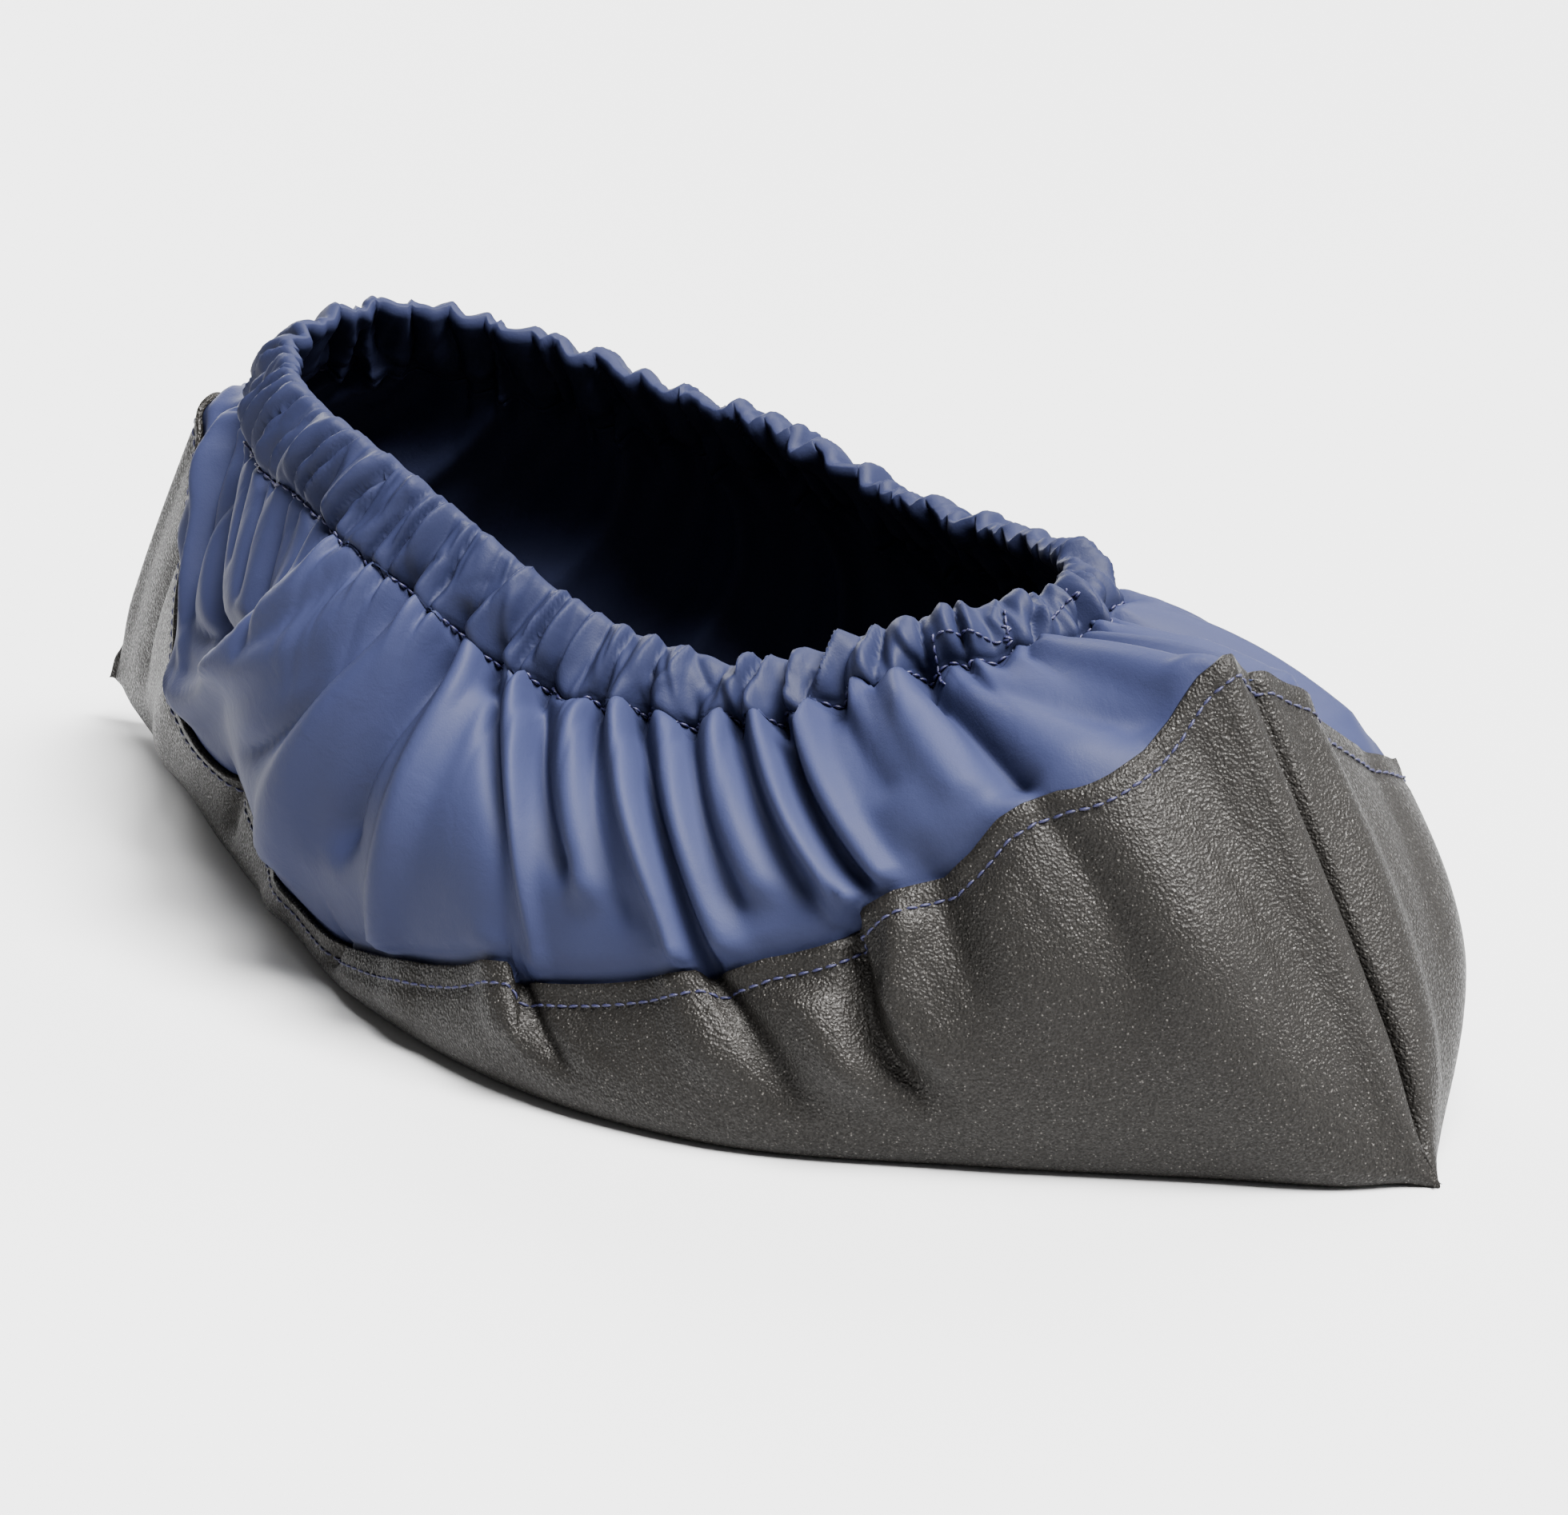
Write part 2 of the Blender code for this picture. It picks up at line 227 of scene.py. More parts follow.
# Dents and ridges of the tray. Signed angle and share up the wall at the top and at the
# bottom, bow in degrees, half width at the top and the bottom, and height, in millimetres.
TRAY_FOLDS = (
    (-76.6, 1.0, -73.5, 0.35, 0, 2.2, 5.0, -2.6),
    (-79.5, 1.0, -77.5, 0.40, 0, 4.5, 6.0, 1.6),
    (-72.0, 0.9, -69.0, 0.45, 0, 6.0, 6.0, -0.8),
    (-58.6, 1.0, -58.0, 0.30, 1, 2.0, 6.0, -2.8),
    (-61.8, 1.0, -61.5, 0.40, 0, 4.0, 7.0, 1.8),
    (-54.0, 0.8, -53.0, 0.35, 0, 6.0, 9.0, 1.8),
    (-45.9, 1.0, -49.5, 0.30, -1, 2.4, 6.5, -5.0),
    (-42.8, 0.9, -46.0, 0.45, -2, 4.0, 6.5, 3.2),
    (-51.5, 0.78, -52.0, 0.30, 0, 5.0, 9.0, 2.2),
    (-38.0, 1.0, -41.0, 0.62, 0, 5.0, 6.0, -2.0),
    (-34.0, 0.86, -36.0, 0.50, 0, 7.0, 11.0, 2.6),
    (-26.5, 0.98, -29.0, 0.45, 2, 6.0, 9.0, -2.4),
    (-17.0, 0.97, -20.0, 0.45, 0, 6.5, 12.0, 2.0),
    (-10.5, 0.9, -12.0, 0.30, 0, 5.0, 9.0, -1.0),
    (-4.5, 1.0, -6.0, 0.05, 0, 3.6, 5.0, 1.5),
    (1.4, 1.0, 1.2, 0.02, 0, 1.3, 1.9, -3.2),
    (1.0, 0.34, 0.0, 0.02, 0, 1.8, 3.4, -3.6),
    (7.5, 1.0, 8.0, 0.10, 0, 5.0, 7.0, 2.2),
    (16.0, 1.0, 15.0, 0.35, 0, 6.0, 8.0, -1.2),
    (27.0, 1.0, 26.0, 0.30, 0, 8.0, 11.0, 2.2),
    (37.0, 1.0, 34.0, 0.35, 0, 4.0, 8.0, -2.4),
    (53.2, 1.0, 51.0, 0.30, 1, 2.4, 6.5, -3.2),
    (57.5, 1.0, 55.0, 0.40, 0, 5.0, 8.0, 2.0),
    (72.0, 0.9, 70.0, 0.30, 0, 7.0, 9.0, 1.6),
    (84.0, 1.0, 82.0, 0.35, 0, 3.5, 7.0, -2.2),
    (98.2, 1.0, 96.0, 0.30, 0, 2.4, 6.0, -2.8),
    (112.0, 1.0, 108.0, 0.30, 0, 6.0, 8.0, 1.8),
    (124.0, 1.0, 121.0, 0.25, 0, 4.0, 7.0, -2.2),
    (141.0, 1.0, 137.0, 0.25, 0, 3.0, 6.0, -2.6),
    (151.0, 1.0, 149.0, 0.25, 0, 5.0, 8.0, 1.8),
    (178.6, 1.0, 179.0, 0.03, 0, 1.3, 2.2, -3.0),
    (172.0, 1.0, 172.0, 0.10, 0, 4.0, 5.0, 1.6),
    (-174.0, 1.0, -173.0, 0.10, 0, 4.0, 5.0, 1.6),
    (-158.0, 1.0, -155.0, 0.20, 0, 3.0, 6.0, -2.4),
    (-143.0, 1.0, -141.0, 0.20, 0, 6.0, 8.0, 1.6),
    (-127.0, 1.0, -124.0, 0.25, 0, 3.0, 6.0, -2.4),
    (-113.0, 1.0, -112.0, 0.25, 0, 6.0, 7.0, 1.4),
    (-101.5, 1.0, -100.5, 0.30, 0, 2.2, 5.0, -2.2),
    (-91.0, 1.0, -90.0, 0.30, 0, 6.0, 7.0, 1.2),
)

# Folds of the blue cloth: the same columns, with shares from the tray edge at 0 to the
# casing's stitch line at 1.
CLOTH_FOLDS = (
    (-173.0, 1.0, -141.0, 0.16, 0, 5.0, 6.0, 2.8),
    (-163.0, 1.0, -146.0, 0.34, 0, 2.6, 4.0, -5.0),
    (-152.0, 1.0, -131.0, 0.46, 0, 8.0, 8.0, -8.5),
    (-137.0, 1.0, -131.0, 0.72, 0, 1.6, 2.0, -2.2),
    (-130.0, 1.0, -125.0, 0.68, 0, 1.8, 2.4, -2.6),
    (-123.0, 1.0, -119.5, 0.60, 0, 1.8, 2.8, -2.8),
    (-115.5, 1.0, -114.0, 0.64, 0, 1.8, 2.6, -2.4),
    (-119.0, 0.66, -140.0, 0.30, 0, 6.0, 6.0, -3.0),
    (-106.0, 1.0, -142.0, 0.02, 3, 5.0, 7.0, 4.0),
    (-100.0, 1.0, -121.0, 0.46, 3, 4.5, 8.0, 3.0),
    (-96.5, 0.96, -114.0, 0.34, 3, 3.2, 7.0, -3.4),
    (-92.5, 1.0, -109.0, 0.12, 0, 5.0, 9.0, 4.4),
    (-88.5, 1.0, -97.0, 0.26, 0, 3.2, 7.0, -6.4),
    (-86.0, 1.0, -93.0, 0.00, 2, 3.4, 5.0, 3.8),
    (-83.5, 1.0, -75.5, 0.02, 2, 2.6, 4.0, -3.8),
    (-80.8, 1.0, -75.5, 0.00, 2, 3.0, 3.6, 4.0),
    (-77.2, 1.0, -70.5, 0.34, 0, 2.4, 4.0, -3.8),
    (-73.6, 1.0, -67.6, 0.26, 1, 3.8, 5.0, 3.4),
    (-70.4, 1.0, -65.0, 0.20, 0, 2.2, 4.0, -2.6),
    (-67.6, 1.0, -60.4, 0.00, 1, 3.0, 2.6, 4.8),
    (-65.0, 1.0, -59.2, 0.01, 1, 2.0, 2.6, -4.4),
    (-61.6, 1.0, -56.6, 0.04, 0, 3.0, 3.6, 3.6),
    (-58.6, 1.0, -54.6, 0.20, 0, 2.2, 3.6, -2.8),
    (-56.2, 1.0, -52.0, 0.20, 0, 4.0, 4.6, 3.2),
    (-53.0, 1.0, -48.2, 0.15, 0, 2.4, 3.6, -2.8),
    (-50.4, 1.0, -45.2, 0.00, 0, 3.0, 2.6, 4.6),
    (-47.6, 1.0, -43.4, 0.03, 0, 2.0, 2.6, -4.2),
    (-45.2, 1.0, -42.0, 0.02, 0, 3.0, 3.0, 3.6),
    (-40.5, 1.0, -38.0, 0.35, 0, 3.4, 6.0, -2.2),
    (-36.0, 0.85, -35.0, 0.10, 0, 7.0, 9.0, 2.2),
    (-33.4, 1.0, -30.5, 0.16, 0, 3.6, 5.0, 2.8),
    (-28.6, 1.0, -27.0, 0.06, 0, 3.0, 5.0, -5.8),
    (-22.5, 1.0, -19.0, 0.10, 0, 6.0, 8.0, 2.2),
    (-24.0, 0.88, -11.5, 0.05, 0, 6.0, 8.0, -3.4),
    (-10.0, 1.0, -6.5, 0.06, 0, 4.0, 5.0, 3.2),
    (-3.0, 0.95, -2.5, 0.05, 0, 2.6, 3.0, -2.4),
    (0.4, 0.95, 0.6, 0.02, 0, 1.6, 2.0, 2.2),
    (4.0, 1.0, 3.0, 0.04, 0, 2.6, 4.0, -2.6),
    (10.0, 1.0, 8.0, 0.06, 0, 4.5, 6.0, 2.8),
    (17.0, 1.0, 14.0, 0.05, 0, 3.0, 6.0, -3.6),
    (24.0, 1.0, 20.0, 0.10, 0, 4.6, 7.0, 3.0),
    (31.0, 1.0, 28.0, 0.12, 0, 3.0, 5.0, -3.8),
    (36.5, 1.0, 35.0, 0.05, 0, 3.8, 6.0, 3.0),
    (41.0, 1.0, 41.0, 0.06, 1, 2.6, 4.6, -3.2),
    (46.0, 1.0, 46.0, 0.05, 0, 4.0, 5.0, 3.2),
    (51.0, 1.0, 53.0, 0.02, 0, 2.6, 4.0, -3.6),
    (56.0, 1.0, 57.0, 0.08, 0, 3.6, 5.0, 2.8),
    (61.0, 1.0, 63.0, 0.20, 0, 2.8, 4.6, -2.8),
    (66.5, 1.0, 68.0, 0.05, 0, 4.0, 6.0, 3.2),
    (72.0, 1.0, 75.0, 0.10, -1, 2.6, 4.6, -3.6),
    (77.0, 1.0, 80.0, 0.05, 0, 3.6, 5.6, 3.0),
    (83.0, 1.0, 86.0, 0.05, 0, 2.8, 4.4, -3.4),
    (89.0, 1.0, 93.0, 0.08, -1, 4.2, 6.4, 3.4),
    (95.5, 1.0, 99.0, 0.02, 0, 2.8, 4.6, -4.0),
    (101.0, 1.0, 106.0, 0.10, 0, 4.0, 7.0, 3.2),
    (107.5, 1.0, 114.0, 0.12, -1, 3.0, 6.0, -4.2),
    (113.0, 1.0, 121.0, 0.10, 0, 4.4, 8.0, 3.6),
    (121.0, 1.0, 131.0, 0.15, -1, 3.2, 7.0, -4.2),
    (129.0, 1.0, 141.0, 0.10, 0, 5.0, 8.0, 3.6),
    (139.0, 1.0, 150.0, 0.20, 0, 3.4, 6.0, -4.0),
    (150.0, 1.0, 159.0, 0.15, 0, 5.0, 7.0, 3.2),
    (163.0, 1.0, 168.0, 0.20, 0, 3.6, 5.0, -3.2),
    (176.0, 1.0, 177.0, 0.10, 0, 3.6, 5.0, 2.0),
    (-171.0, 1.0, -168.0, 0.20, 0, 3.4, 5.0, -2.6),
    (-161.0, 1.0, -154.0, 0.12, 0, 4.6, 6.0, 3.0),
    (-151.0, 1.0, -143.0, 0.20, 0, 3.4, 5.0, -3.4),
)


# Ends and cross-sections of the folds. A fold starts this share below its lower end. One
# deeper than the hollow depth, in millimetres, is a rounded hollow and not a sharp valley,
# and it flattens toward its top.
FOLD_END = 0.06
RIDGE_POWER = 2.4
VALLEY_SHARPNESS = 2.0
HOLLOW_DEPTH = -7.0
HOLLOW_CALM = 0.6
HOLLOW_CALM_SHARES = (0.76, 1.0)

# The tray: the rounded corner at the sole, which sharpens toward the seams, the calm tips,
# the waviness of the wall, the edge that stands off a little, and its stitched groove
CORNER_RADIUS = 0.0050
TIP_RADIUS = 0.0012
TIP_ANGLE = 14.0
CORNER_LIMIT = 0.25
SPINE_SETBACK = 0.012
SPINE_REACH = 0.6
TRAY_FOLD_FADE = 0.22
TIP_CALM_ANGLE = 5.0
TIP_CALM_SHARES = (0.02, 0.14)
TRAY_WAVE = 0.0007
EDGE_FLARE = 0.0009
EDGE_FLARE_LEAST = 0.3
EDGE_FLARE_REACH = 0.003
TRAY_STITCH_DROP = 0.0042
TRAY_GROOVE = 0.00035
TRAY_GROOVE_WIDTH = 0.0012

# The blue cloth where it comes out of the tray: the smoothing of the edge that it follows,
# the depth, gap and rows of the part that is tucked in, and how far up it stays pressed
# in, is calmer and still follows the edge
EDGE_SMOOTHING = 14
TUCK = 0.007
TUCK_GAP = 0.0004
TUCK_ROWS = (1.0, 0.66, 0.33)
TUCK_REACH = 0.004
TUCK_CALM = 0.7
TUCK_CALM_REACH = 0.003
EDGE_REACH = 0.009

# The blue cloth at the casing: how far up the long folds run, their pinch at the stitch
# line, the stitched groove and the sag between gathers, and the calmer rim
FOLD_FADE = 0.004
FOLD_TOP_FADE = 1.08
FOLD_PINCH = 0.25
FOLD_PINCH_REACH = 0.003
STITCH_GROOVE = 0.0009
STITCH_GROOVE_WIDTH = 0.0011
STITCH_SAG = 0.0026
SAG_REACH = 0.007
RIM_CALM = 0.35
RIM_CALM_SHARES = (0.7, 1.0)

# The casing as a flat tube: its thickness, pinched at the stitch line, its slight swelling
# and its rounded rim
CASING_THICK = 0.0034
CASING_PINCH = 0.0012
CASING_SWELL = 0.002
CASING_FILL = 0.005
CASING_SMOOTHING = 4
CASING_FADE = 0.38
CASING_FADE_LOW = 0.3
RIM_ROUNDING = 0.0022
RIM_THINNEST = 0.12

# Gathers of the collar casing. The valleys of the long folds run on into it, and the space
# between them is filled at about this spacing. Fine gathers lie over the main ones. A
# gather moves along the ring by its lean for each metre up, down to the lean stop.
GATHER_SEED = 7
GATHER_SPACING = 0.0074
GATHER_UNEVEN = 0.22
GATHER_HEIGHT = 0.0044
GATHER_HEIGHTS = (0.6, 1.15)
GATHER_LEANS = (-0.50, -0.08)
GATHER_POWER = 1.25
GATHER_SINK = 0.42
GATHER_REACH = 0.006
GATHER_SKEWS = (0.5, 0.62, 1.5, 1.9)
GATHER_FULL_WIDTH = 0.8
LEAN_STOP = -0.006
VALLEY_HEIGHT = -1.5
VALLEY_TOP = 0.94
FINE_GATHER_SPACING = 0.0046
FINE_GATHER_UNEVEN = 0.3
FINE_GATHER_HEIGHT = 0.0012
FINE_GATHER_HEIGHTS = (0.2, 1.0)
FINE_GATHER_LEANS = (-0.18, 0.18)
FINE_GATHER_POWER = 1.4
FINE_GATHER_SINK = 0.3
FINE_GATHER_REACH = 0.005
GATHER_PINCH = 0.4
GATHER_PINCH_REACH = 0.0028

# Below the stitch line beside the heel the cloth lies in long folds, and few gathers show
CALM_CENTRE = -138.0
CALM_HALF_ANGLE = 24.0
CALM_SHARE = 0.9
CALM_DROP = 0.003

# Thread: radius, pitch of each row, share of the pitch that a thread covers, how unevenly
# and aslant the threads lie, and the rise and fall of one thread
THREAD_RADIUS = 0.00027
TRAY_STITCH_PITCH = 0.0026
CASING_STITCH_PITCH = 0.0023
SHORT_SEAM_PITCH = 0.0021
TRAY_STITCH_SEED = 11
CASING_STITCH_SEED = 12
SHORT_SEAM_SEED = 40
THREAD_SHARE = 0.90
THREAD_UNEVEN = 0.06
THREAD_SLANT = 0.00012
THREAD_SIDES = 6
THREAD_SHAPE = np.array((0.45, 0.9, 1.0, 0.9, 0.45))
THREAD_LIFT = np.array((-0.9, 0.5, 1.0, 0.5, -0.9))

# Short seams at the front of the collar: name, then signed angle and millimetres above the
# casing's stitch line of the points that they pass
SHORT_SEAM_STEPS = 12
SHORT_SEAMS = (
    ("hem_end_stitches", ((-25.2, 5.0), (-21.6, 5.4), (-18.5, 4.2), (-16.4, 2.6), (-14.4, 2.2),
                          (-13.4, 5.0), (-12.4, 8.0))),
    ("front_seam_stitches", ((-25.6, 6.0), (-26.2, 3.2), (-26.5, 0.9), (-26.6, -2.5))),
    ("bar_tack", ((-15.4, 1.2), (-13.8, 2.0), (-15.0, 3.0), (-13.2, 3.8), (-14.8, 5.0))),
    ("hem_start_stitches", ((-6.1, 4.2), (-3.0, 5.4), (-0.5, 6.1), (2.8, 6.9), (6.1, 7.4))),
    ("far_bar_tack", ((5.2, 5.6), (6.8, 6.8), (5.0, 8.0), (6.6, 9.2), (5.2, 10.2))),
)


def bell(values, width):
    """One at zero, falling smoothly to both sides over about this width."""
    return np.exp(-(values / width) ** 2)


def each_segment(shares):
    """A list of shares, one a row, repeated for every segment of its row."""
    return np.repeat(shares[:, None], SEGMENTS, axis=1)


def waves(turns, seed, count, low, high):
    """A gentle wandering line round the shoe, between -1 and 1."""
    picks = np.random.default_rng(seed)
    total = np.zeros_like(turns)
    for _ in range(count):
        total += np.sin(np.radians(turns) * picks.integers(low, high) + picks.uniform(0, 2 * pi))
    return total / count


def smooth_step(x, low, high):
    s = np.clip((x - low) / (high - low), 0, 1)
    return s * s * (3 - 2 * s)


def turn_gap(centre):
    """Angle from a centre to each segment, the short way round."""
    return (TURN_SIGNED - centre + 180.0) % 360.0 - 180.0


def folds_height(grid, shares, folds, fade_top=0.11, fade_low=0.08):
    """Heights of a table of folds on a grid of points."""
    step = np.linalg.norm(np.roll(grid, -1, axis=1) - np.roll(grid, 1, axis=1), axis=-1)
    degrees_apart = (np.roll(TURN, -1) - np.roll(TURN, 1)) % 360.0
    per_degree = step / degrees_apart
    total = np.zeros(shares.shape)
    for top, top_share, low, low_share, bow, wide_top, wide_low, height in folds:
        run = np.clip((top_share - shares) / (top_share - low_share), 0, 1)
        centre = top + (low - top) * run + bow * 4 * run * (1 - run)
        wide = (wide_top + (wide_low - wide_top) * run) * MM
        across = turn_gap(centre) * per_degree / wide
        ends = smooth_step(shares, low_share - FOLD_END, low_share + fade_low)
        ends = ends * (1 - smooth_step(shares, top_share, top_share + fade_top))
        if height < HOLLOW_DEPTH:
            ends = ends * (1 - HOLLOW_CALM * smooth_step(shares, *HOLLOW_CALM_SHARES))
        if HOLLOW_DEPTH < height < 0:
            form = np.exp(1 - np.sqrt(1 + (VALLEY_SHARPNESS * across) ** 2))
        else:
            form = np.exp(-np.abs(across) ** RIDGE_POWER)
        total += height * MM * form * ends
    return total


def ring_length(points):
    """Distance round a ring from its first point to each point."""
    steps = np.linalg.norm(np.roll(points, -1, axis=0) - points, axis=-1)
    return np.concatenate(([0.0], np.cumsum(steps)))


def smoothed(ring_points, reach):
    """A ring with its small steps evened out over this many segments."""
    offsets = np.arange(-3 * reach, 3 * reach + 1)
    weights = bell(offsets, reach)
    total = sum(w * np.roll(ring_points, o, axis=0) for w, o in zip(weights, offsets))
    return total / weights.sum()


def corner_rows(floor, wall_foot, radius):
    """Rows that round the corner from the sole to the foot of the wall."""
    spine = floor.copy()
    end = LENGTH / 2 - SPINE_SETBACK
    spine[:, 0] = np.clip(floor[:, 0], -end, end)
    spine[:, 1] = middle_line(spine[:, 0])
    reach = np.minimum(radius, SPINE_REACH * np.linalg.norm(spine - floor, axis=-1))
    inner = floor + unit(spine - floor) * reach[:, None]
    turn = (np.arange(CORNER_ROWS) / CORNER_ROWS)[:, None, None]
    return (1 - turn) ** 2 * inner + 2 * turn * (1 - turn) * floor + turn ** 2 * wall_foot


def tray_grid():
    """Outer face of the tray, from its bottom edge up to the cut edge."""
    floor, edge = floor_ring(), edge_ring()
    rise_at, rise = np.array(EDGE_RISE).T
    edge[:, 2] += np.interp(TURN_SIGNED, rise_at, rise) * MM
    tall = np.linalg.norm(edge - floor, axis=-1)
    tip = np.clip(FROM_SEAM / TIP_ANGLE, 0, 1)
    radius = TIP_RADIUS + (CORNER_RADIUS - TIP_RADIUS) * smooth_step(tip, 0, 1)
    start = np.minimum(radius / tall, CORNER_LIMIT)
    shares = start + (1 - start) * each_segment(np.linspace(0, 1, TRAY_ROWS) ** TRAY_ROW_POWER)
    wall = ruled(floor, edge, shares, BELLY * read("belly") * np.sin(pi * shares))

    grid = np.concatenate((corner_rows(floor, wall[0], radius), wall))
    shares = np.concatenate((np.zeros((CORNER_ROWS, SEGMENTS)), shares))
    height = folds_height(grid, shares, TRAY_FOLDS, fade_low=TRAY_FOLD_FADE)
    height *= 1 - bell(FROM_SEAM, TIP_CALM_ANGLE) * (1 - smooth_step(shares, *TIP_CALM_SHARES))
    wave = waves(TURN, seed=3, count=5, low=6, high=22)
    height += TRAY_WAVE * wave * np.sin(pi * np.clip(shares, 0, 1))
    from_edge = (1 - shares) * tall
    wave = np.clip(waves(TURN, seed=5, count=4, low=5, high=25), 0, 1)
    standing = EDGE_FLARE_LEAST + (1 - EDGE_FLARE_LEAST) * wave
    height += EDGE_FLARE * standing * bell(from_edge, EDGE_FLARE_REACH)
    height -= TRAY_GROOVE * bell(from_edge - TRAY_STITCH_DROP, TRAY_GROOVE_WIDTH)
    return raised(grid, height)


def cloth_and_casing(tray):
    """Outer face of the blue cloth from the tray's edge to the rim of the casing, and how
    far each of its points lies above the casing's stitch line."""
    edge = smoothed(tray[-1], EDGE_SMOOTHING)
    stitch = collar_ring(CASING_SPREAD, "stitch_up")
    rim = collar_ring(0.0, "rim_up")
    low = each_segment(1 - (1 - np.linspace(0, 1, CLOTH_ROWS)) ** CLOTH_ROW_POWER)
    high = each_segment(np.linspace(0, 1, CASING_ROWS)[1:] ** CASING_ROW_POWER)
    cloth = ruled(edge, stitch, low, PUFF * read("puff") * np.sin(pi * low))
    casing = ruled(stitch, rim, high, CASING_SWELL * np.sin(pi * high))
    grid = np.concatenate((cloth, casing))
    tall = np.linalg.norm(stitch - edge, axis=-1)
    above = np.linalg.norm(rim - stitch, axis=-1) * high
    distance = np.concatenate((tall * (low - 1), above))
    shares = np.concatenate((low, np.ones_like(high)))

    height = folds_height(grid, shares, CLOTH_FOLDS, fade_top=FOLD_TOP_FADE)
    height *= bell(np.clip(distance, 0, None), FOLD_FADE)
    height *= 1 - FOLD_PINCH * bell(distance, FOLD_PINCH_REACH)
    gathered, crest = gathers(stitch, distance)
    height += gathered
    height -= STITCH_GROOVE * bell(distance, STITCH_GROOVE_WIDTH)
    height[CLOTH_ROWS:] *= 1 - RIM_CALM * smooth_step(high, *RIM_CALM_SHARES)
    height[:CLOTH_ROWS] += folds_height(cloth, low, CLOTH_CREASES)
    height[CLOTH_ROWS:] += folds_height(casing, high, CASING_CREASES, CASING_FADE, CASING_FADE_LOW)

    from_edge = tall * low
    height[:CLOTH_ROWS] *= 1 - TUCK_CALM * (1 - smooth_step(from_edge, 0.0, TUCK_CALM_REACH))
    height[:CLOTH_ROWS] -= (TRAY_WALL + TUCK_GAP) * (1 - smooth_step(from_edge, 0.0, TUCK_REACH))
    skin = raised(grid, height)
    pulled = STITCH_SAG * crest[None] * bell(distance, SAG_REACH)
    skin += unit(stitch - edge)[None] * pulled[..., None]
    at_edge = 1 - smooth_step(from_edge, 0.0, EDGE_REACH)
    skin[:CLOTH_ROWS] += (tray[-1] - edge)[None] * at_edge[..., None]
    return skin, distance


def seeded_creases(seed, count, tops, lengths, slant, widths, heights, first=-180, widening=1.4):
    """Small creases scattered from the first signed angle to the heel seam on the far side,
    in the columns of the fold tables."""
    picks = np.random.default_rng(seed)
    rows = []
    for _ in range(count):
        top = picks.uniform(first, 180)
        top_share = picks.uniform(*tops)
        low_share = top_share - picks.uniform(*lengths)
        wide = picks.uniform(*widths)
        height = picks.uniform(*heights) * picks.choice((-1, 1))
        low = top + picks.uniform(-slant, slant)
        rows.append((top, top_share, low, low_share, 0, wide, widening * wide, height))
    return rows


CLOTH_CREASES = seeded_creases(seed=21, count=70, tops=(0.9, 1.0), lengths=(0.10, 0.35), slant=3,
                               widths=(1.2, 2.4), heights=(0.2, 0.6), first=-112)
CASING_CREASES = seeded_creases(seed=22, count=170, tops=(0.5, 1.0), lengths=(0.35, 0.9), slant=5,
                                widths=(0.7, 1.8), heights=(0.3, 1.0))


def gather_valleys(stitch, picks):
    """Where the gathers pinch in, as distances round the stitch line, and its length."""
    round_line = ring_length(stitch)
    whole = round_line[-1]
    order = np.argsort(TURN_SIGNED)
    marked = sorted(np.interp(fold[0], TURN_SIGNED[order], round_line[:-1][order])
                    for fold in CLOTH_FOLDS if fold[-1] < VALLEY_HEIGHT and fold[1] > VALLEY_TOP)
    places = []
    for here, after in zip(marked, marked[1:] + [marked[0] + whole]):
        count = max(1, round((after - here) / GATHER_SPACING))
        shift = picks.uniform(-GATHER_UNEVEN, GATHER_UNEVEN, count)
        shift[0] = 0.0
        places += [here + (after - here) * (k + shift[k]) / count for k in range(count)]
    return np.array(places), whole


def domes(places, whole, leans, heights, along, distance, power):
    """Rounded swellings between neighbouring valleys, lower where they are narrow. The
    valleys lean with distance."""
    total = np.zeros(distance.shape)
    count = len(places)
    skews = np.random.default_rng(count).choice(GATHER_SKEWS, count)
    for row in range(len(distance)):
        valley = places + leans * max(distance[row].mean(), LEAN_STOP)
        valley = np.sort(np.concatenate((valley - whole, valley, valley + whole)))
        cell = np.searchsorted(valley, along, side="right") - 1
        wide = valley[cell + 1] - valley[cell]
        t = np.clip((along - valley[cell]) / wide, 0, 1) ** skews[cell % count]
        low = np.minimum(wide * count / (GATHER_FULL_WIDTH * whole), 1.0)
        total[row] = low * heights[cell % count] * (1 - np.abs(2 * t - 1) ** power)
    return total


